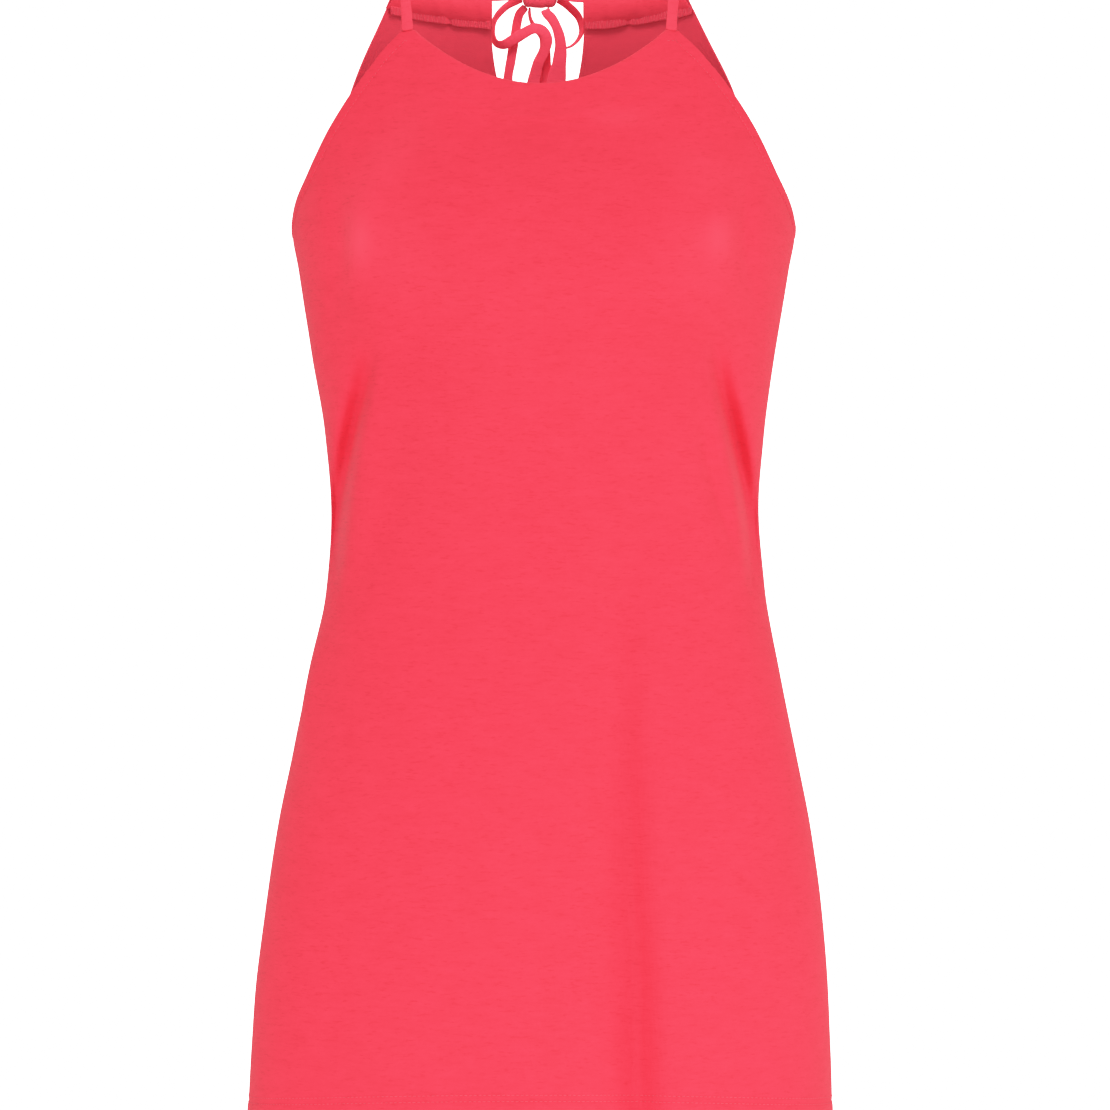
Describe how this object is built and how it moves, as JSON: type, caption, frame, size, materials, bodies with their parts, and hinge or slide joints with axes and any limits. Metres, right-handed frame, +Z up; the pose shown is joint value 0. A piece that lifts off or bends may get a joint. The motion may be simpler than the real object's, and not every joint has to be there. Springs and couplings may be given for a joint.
{
  "type": "sleeveless longline top",
  "caption": "Sleeveless longline jersey top filled out as worn: halter-cut front on two spaghetti straps, folded back neckband tied in a bow over a long opening, flared hem.",
  "frame": {"origin": "midway between the two straps, level with their tops, where the wearer's shoulders hold the top up", "axes": "+Z up, the front faces -Y, the wearer's right side is at -X"},
  "size_m": [0.392, 0.2395, 0.8311],
  "materials": {
    "jersey": "matte single jersey, coral red, fine knit with short flecks",
    "folded_jersey": "the same jersey folded double for the neckband, straps and ties"
  },
  "bodies": {
    "root": {"front": "jersey", "back": "jersey", "neckband_right": "folded_jersey", "neckband_left": "folded_jersey", "strap_right": "folded_jersey", "strap_left": "folded_jersey", "tie_right": "folded_jersey", "tie_left": "folded_jersey", "bow_knot": "folded_jersey", "bow_loop_right": "folded_jersey", "bow_loop_left": "folded_jersey", "bow_tail_right": "folded_jersey", "bow_tail_left": "folded_jersey"}
  },
  "joints": []
}
